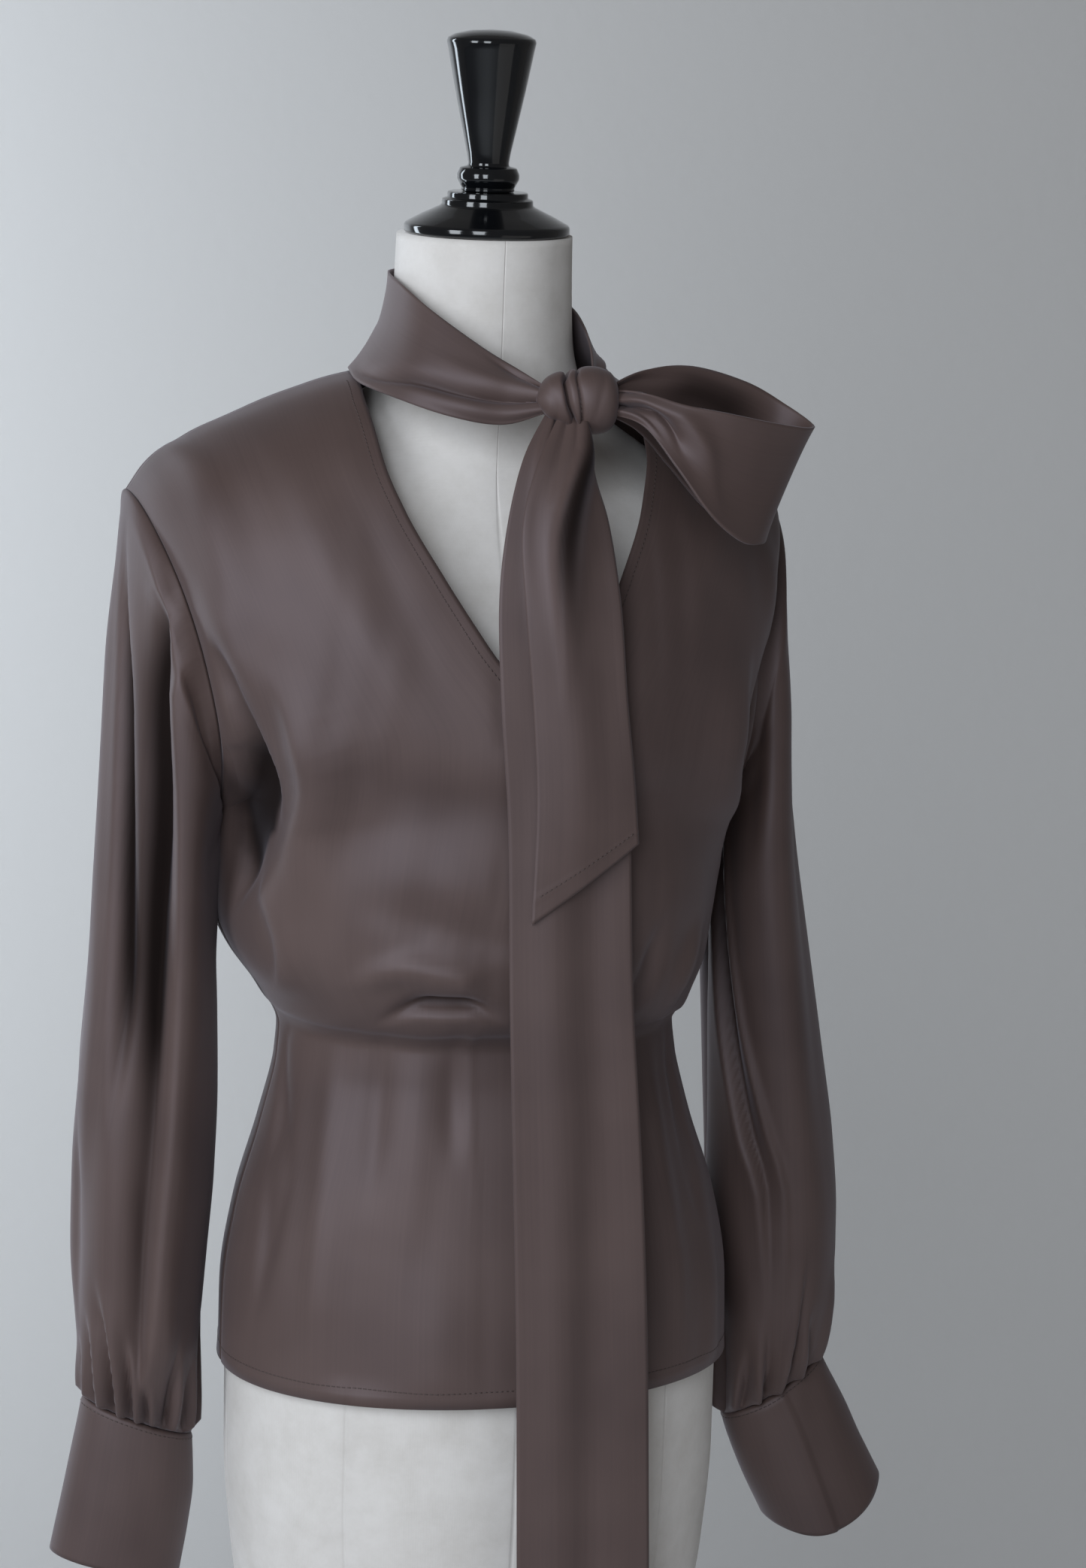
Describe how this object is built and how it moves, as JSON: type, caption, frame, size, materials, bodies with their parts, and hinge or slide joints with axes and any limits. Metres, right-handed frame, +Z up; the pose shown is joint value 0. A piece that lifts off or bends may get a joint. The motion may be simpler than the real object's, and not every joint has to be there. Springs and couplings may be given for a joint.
{
  "type": "tie-neck blouse on dress form",
  "caption": "Long-sleeved satin blouse with a V neck and a neck tie knotted in a single loop, its sleeves pleated into deep cuffs, on a limbless linen dress form with a round base.",
  "frame": {"origin": "centre of the round base's underside, on the floor", "axes": "+Z up; the wearer faces -Y; +X is the wearer's left"},
  "size_m": [0.5505, 0.36, 1.6636],
  "materials": {
    "satin": "soft silk satin, taupe brown",
    "linen": "ivory linen, matt",
    "black_gloss": "turned wood under glossy black lacquer",
    "black_metal": "black powder coat"
  },
  "bodies": {
    "root": {"front": "satin", "back": "satin", "sleeve_right": "satin", "sleeve_left": "satin", "cuff_right": "satin", "cuff_left": "satin", "neck_band": "satin", "tie_knot": "satin", "tie_loop": "satin", "tie_short_end": "satin", "tie_long_end": "satin", "form_torso": "linen", "neck_cap": "black_gloss", "finial": "black_gloss", "stand_pole": "black_metal", "stand_base": "black_metal"}
  },
  "joints": []
}
